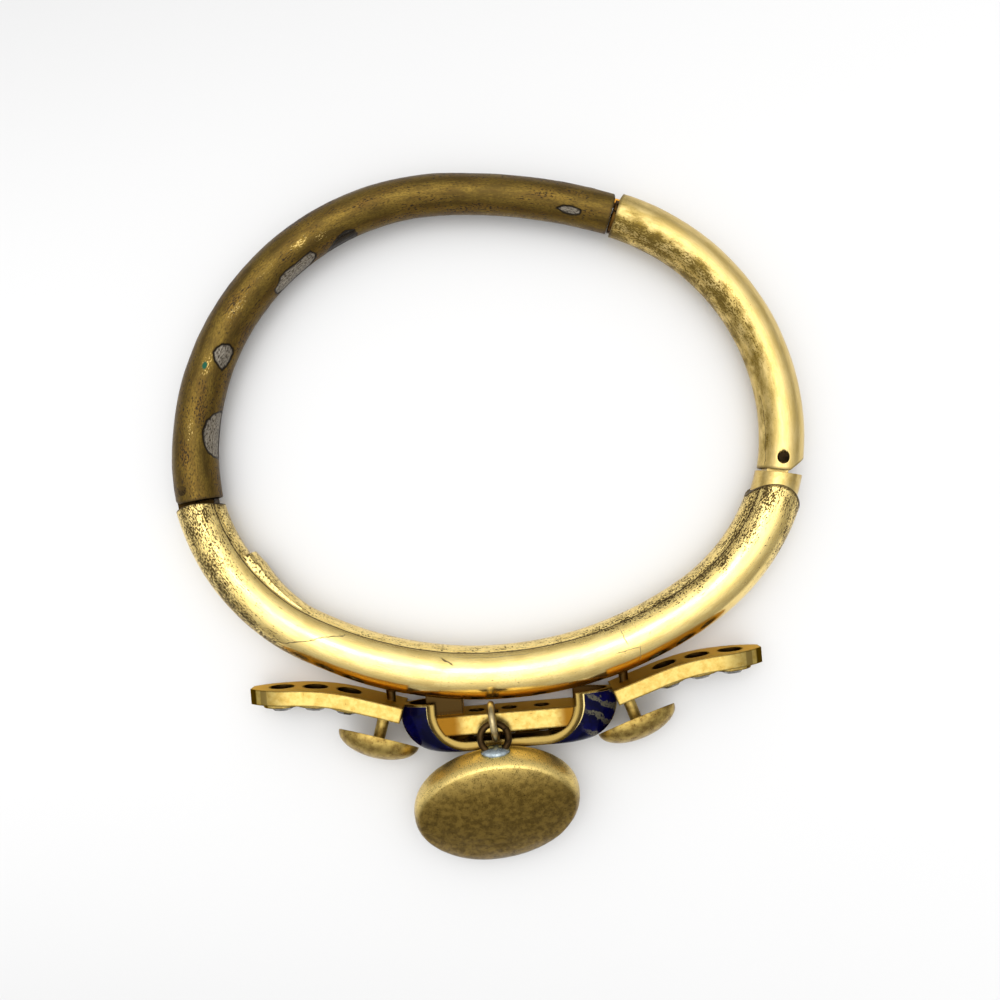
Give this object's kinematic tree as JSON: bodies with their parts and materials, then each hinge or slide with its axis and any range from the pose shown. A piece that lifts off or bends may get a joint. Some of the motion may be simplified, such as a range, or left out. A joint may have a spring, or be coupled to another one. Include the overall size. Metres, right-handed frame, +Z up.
{
  "type": "hinged bangle",
  "caption": "Oval tubular hinged bangle lying on its side, with a stone-set bar, blue enamel frame, domed bosses and an oval drop on its front.",
  "frame": {"origin": "bottom centre of the whole bangle's box as it lies on its side", "axes": "+Z up along the loop's axis, -Y towards the ornament at the front, +X towards the brushed arm"},
  "size_m": [0.0678, 0.074, 0.0086],
  "materials": {
    "polished gilt": "polished gilding over base metal, darkened at the ends",
    "worn brown metal": "dull brown where the gilding is lost",
    "brushed gilt": "satin, with an olive tarnish on the wrist side",
    "antique gold": "matte, speckled",
    "pale aged metal": "worn satin",
    "blue enamel": "glossy, worn in streaks",
    "grey stone": "faceted, clouded"
  },
  "bodies": {
    "front": {"bar_stone_1": "grey stone", "bar_stone_2": "grey stone", "bar_stone_3": "grey stone", "drop": "antique gold", "enamel_lower": "blue enamel", "enamel_upper": "blue enamel", "front_tube": "polished gilt", "jump_ring": "pale aged metal", "left_boss": "antique gold", "left_wing_stone_1": "grey stone", "left_wing_stone_2": "grey stone", "left_wing_stone_3": "grey stone", "ornament": "antique gold", "right_boss": "antique gold", "right_wing_stone_1": "grey stone", "right_wing_stone_2": "grey stone", "right_wing_stone_3": "grey stone"},
    "sleeve": {"sleeve": "polished gilt"},
    "left_arm": {"left_arm": "worn brown metal", "left_rivet": "worn brown metal"},
    "right_arm": {"right_arm": "brushed gilt", "right_rivet": "brushed gilt"}
  },
  "joints": [
    {"name": "left_hinge", "type": "hinge", "parent": "front", "child": "left_arm", "pos_m": [-0.03251, 0.00527, 0.00301], "axis": [0, 0, 1], "range_deg": [0, 40]},
    {"name": "size_slide", "type": "hinge", "parent": "front", "child": "sleeve", "pos_m": [0.00972, 0.00777, 0.00301], "axis": [0, 0, 1], "range_deg": [-2.6, 0]},
    {"name": "right_hinge", "type": "hinge", "parent": "sleeve", "child": "right_arm", "pos_m": [0.03091, 0.00357, 0.00301], "axis": [0, 0, -1], "range_deg": [0, 40]}
  ]
}
